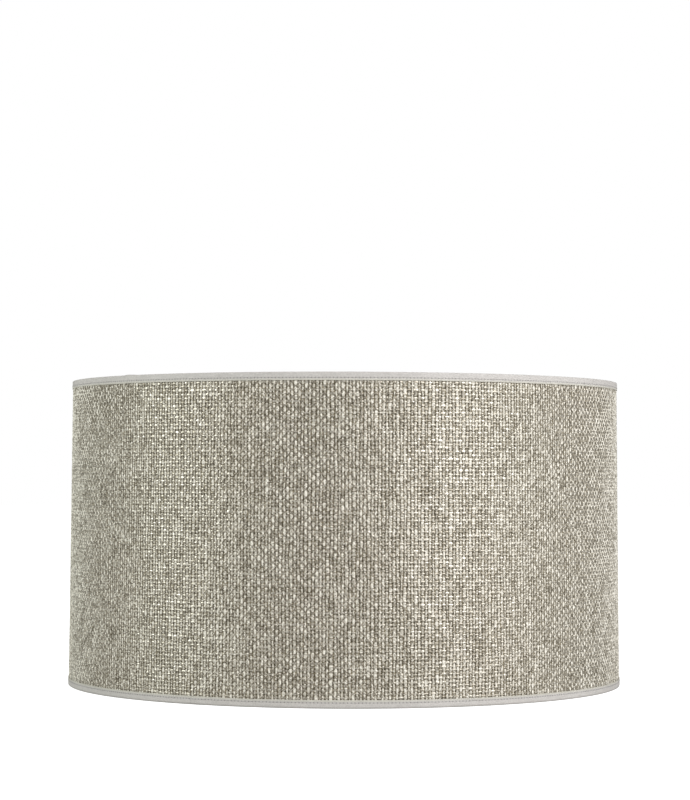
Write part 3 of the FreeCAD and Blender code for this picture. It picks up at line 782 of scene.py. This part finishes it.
# ---------------------------------------------------------------- liner
def liner():
    """The stiff sheet, wrapped once and lapped, with very slight waves left from rolling."""
    rng = np.random.default_rng(71)
    cols, rows = 721, 40
    ang = np.linspace(100.0, A_END, cols)
    zz = np.linspace(T_TRIM, HEIGHT - T_TRIM, rows)
    wave = 0.00005 * smooth_noise(rng, (cols, rows), (9.0, 14.0))
    A, Z = np.meshgrid(ang, zz, indexing="ij")
    ramp = np.clip((A - A_JOG) / 0.6, 0, 1)
    lift = SEAM_STEP * (3 * ramp ** 2 - 2 * ramp ** 3)
    mid = np.clip(np.minimum(Z, HEIGHT - Z) / 0.012, 0, 1)
    r_in = outer(Z) - T_WALL + lift + wave * mid
    r_out = outer(Z) - T_TRIM - T_FABRIC + lift
    th = np.radians(A)
    fa = np.stack([r_in * np.cos(th), r_in * np.sin(th), Z], -1).reshape(-1, 3)
    fb = np.stack([r_out * np.cos(th), r_out * np.sin(th), Z], -1).reshape(-1, 3)
    co = np.concatenate([fa, fb])
    I = np.arange(cols * rows).reshape(cols, rows)
    O = I + cols * rows
    q = [np.stack([I[:-1, :-1], I[:-1, 1:], I[1:, 1:], I[1:, :-1]], -1).reshape(-1, 4),
         np.stack([O[:-1, :-1], O[1:, :-1], O[1:, 1:], O[:-1, 1:]], -1).reshape(-1, 4),
         np.stack([I[:-1, 0], I[1:, 0], O[1:, 0], O[:-1, 0]], -1),
         np.stack([I[1:, -1], I[:-1, -1], O[:-1, -1], O[1:, -1]], -1),
         np.stack([I[0, 1:], I[0, :-1], O[0, :-1], O[0, 1:]], -1),
         np.stack([I[-1, :-1], I[-1, 1:], O[-1, 1:], O[-1, :-1]], -1)]
    uv = np.concatenate([np.stack([A, Z * 1000], -1).reshape(-1, 2)] * 2)
    ob = new_mesh("lining", co, np.concatenate(q), uv)
    finish_piece(ob, "liner", "liner_sheet")
    return ob


liner()


# ---------------------------------------------------------------- rim rings and weld beads
def rim_wire(name, rim, replaced):
    cols, sides = 360, 16
    th = np.linspace(0, 2 * math.pi, cols, endpoint=False)[:, None]
    ph = np.linspace(0, 2 * math.pi, sides, endpoint=False)[None]
    rr = rim.ring_r + RING_R * np.cos(ph)
    z = rim.z(rim.ring_s) + RING_R * np.sin(ph)
    co = np.stack([rr * np.cos(th), rr * np.sin(th), np.broadcast_to(z, (cols, sides))], -1).reshape(-1, 3)
    idx = np.arange(cols * sides).reshape(cols, sides)
    a, b = np.roll(idx, -1, 0), np.roll(idx, -1, 1)
    q = np.stack([idx, a, np.roll(a, -1, 1), b], -1).reshape(-1, 4)
    ob = new_mesh(name, co, q)
    return finish_piece(ob, "ring_wire", replaced)


rim_wire("top_wire", rim_top, "top_ring")
rim_wire("bottom_wire", rim_bottom, "bottom_ring")

for node, slot in (("fitter_ring", "fitter_metal"), ("spoke_rear", "fitter_metal"), ("spoke_left", "fitter_metal"),
                   ("spoke_right", "fitter_metal"), ("fitter_welds", "fitter_metal"), ("rim_weld_rear", "fitter_metal"),
                   ("rim_weld_left", "fitter_metal"), ("rim_weld_right", "fitter_metal"), ("seam_tape", "tape")):
    o = NODES[node]
    for s in o.material_slots:
        s.link = "OBJECT"
        s.material = MAT[slot]

# ---------------------------------------------------------------- floor, light, camera
FLOOR_GLOW, AMBIENT = 0.18, 0.295


def stage_floor():
    me = bpy.data.meshes.new("floor")
    s = 14.0
    me.from_pydata([(-s, -s, -0.0001), (s, -s, -0.0001), (s, s, -0.0001), (-s, s, -0.0001)], [], [(0, 1, 2, 3)])
    ob = bpy.data.objects.new("floor", me)
    bpy.context.scene.collection.objects.link(ob)
    m = bpy.data.materials.new("pale_floor")
    m.use_nodes = True
    b = m.node_tree.nodes["Principled BSDF"]
    b.inputs["Base Color"].default_value = (0.45, 0.45, 0.45, 1)
    b.inputs["Roughness"].default_value = 0.9
    b.inputs["Specular IOR Level"].default_value = 0.0
    b.inputs["Emission Color"].default_value = (1, 1, 1, 1)
    t = m.node_tree
    seen = t.nodes.new("ShaderNodeLightPath")
    glow = t.nodes.new("ShaderNodeMapRange")
    for k, q in zip(("From Min", "From Max", "To Min", "To Max"), (0.0, 1.0, FLOOR_GLOW, 1.0)):
        glow.inputs[k].default_value = q
    t.links.new(seen.outputs["Is Camera Ray"], glow.inputs["Value"])
    t.links.new(glow.outputs[0], b.inputs["Emission Strength"])
    # from below the floor is clear, so that the underside can be looked at
    side, clear, mix = (t.nodes.new("ShaderNode" + k) for k in ("NewGeometry", "BsdfTransparent", "MixShader"))
    t.links.new(side.outputs["Backfacing"], mix.inputs[0])
    t.links.new(b.outputs[0], mix.inputs[1])
    t.links.new(clear.outputs[0], mix.inputs[2])
    t.links.new(mix.outputs[0], t.nodes["Material Output"].inputs["Surface"])
    me.materials.append(m)
    return ob


stage_floor()

world = bpy.data.worlds.new("studio")
bpy.context.scene.world = world
world.use_nodes = True
wt = world.node_tree
w_seen, w_level = wt.nodes.new("ShaderNodeLightPath"), wt.nodes.new("ShaderNodeMapRange")
for k, q in zip(("From Min", "From Max", "To Min", "To Max"), (0.0, 1.0, AMBIENT, 1.0)):
    w_level.inputs[k].default_value = q
wt.links.new(w_seen.outputs["Is Camera Ray"], w_level.inputs["Value"])
# the room is lighter in front of the shade than behind it
w_dir, w_axis, w_fade = (wt.nodes.new("ShaderNode" + k) for k in ("TexCoord", "SeparateXYZ", "MapRange"))
w_fade.interpolation_type = "SMOOTHSTEP"
for k, q in zip(("From Min", "From Max", "To Min", "To Max"), (-0.45, 0.55, 1.22 * AMBIENT, 0.30 * AMBIENT)):
    w_fade.inputs[k].default_value = q
wt.links.new(w_dir.outputs["Generated"], w_axis.inputs[0])
wt.links.new(w_axis.outputs["Y"], w_fade.inputs["Value"])
wt.links.new(w_fade.outputs[0], w_level.inputs["To Min"])
wt.links.new(w_level.outputs[0], wt.nodes["Background"].inputs["Strength"])
wt.nodes["Background"].inputs["Color"].default_value = (1, 1, 1, 1)


def softbox(name, azimuth, distance, height, size, power, colour):
    """An area light at this azimuth, clockwise from the front seen from above, aimed at the shade."""
    d = bpy.data.lights.new(name, "AREA")
    d.shape = "RECTANGLE"
    d.size, d.size_y = size
    d.energy = power
    d.color = colour
    o = bpy.data.objects.new(name, d)
    bpy.context.scene.collection.objects.link(o)
    a = math.radians(azimuth)
    o.location = (distance * math.sin(a), -distance * math.cos(a), height)
    aim = Vector((0, 0, 0.15)) - o.location
    o.rotation_mode = "QUATERNION"
    o.rotation_quaternion = aim.to_track_quat("-Z", "Y")
    return o


softbox("side_left", -66, 1.8, 0.68, (1.00, 1.35), 17.2, (0.950, 1.0, 0.970))
softbox("front_right", 37, 1.8, 0.68, (1.30, 1.35), 19.4, (0.99, 0.98, 1.0))
softbox("side_right", 64, 1.8, 0.68, (0.90, 1.35), 8.8, (0.955, 0.99, 1.0))
softbox("rear", 180, 1.9, 1.90, (0.6, 0.7), 10.0, (1.0, 1.0, 1.0))
softbox("ceiling", 0, 0.001, 2.6, (1.0, 1.0), 8.0, (1.0, 1.0, 1.0))

bpy.context.scene.view_settings.view_transform = "Standard"

cam_data = bpy.data.cameras.new("camera")
cam = bpy.data.objects.new("camera", cam_data)
bpy.context.scene.collection.objects.link(cam)
cam_data.sensor_width = 36.0
cam_data.lens = 2333.2 / 800 * 36.0
cam_data.clip_start, cam_data.clip_end = 0.05, 60.0
cam.location = (0.0005, -8.549 * R_BOTTOM, 0.2052)
cam.rotation_euler = (math.radians(90 + 1.898), math.radians(-0.17), 0)
bpy.context.scene.camera = cam
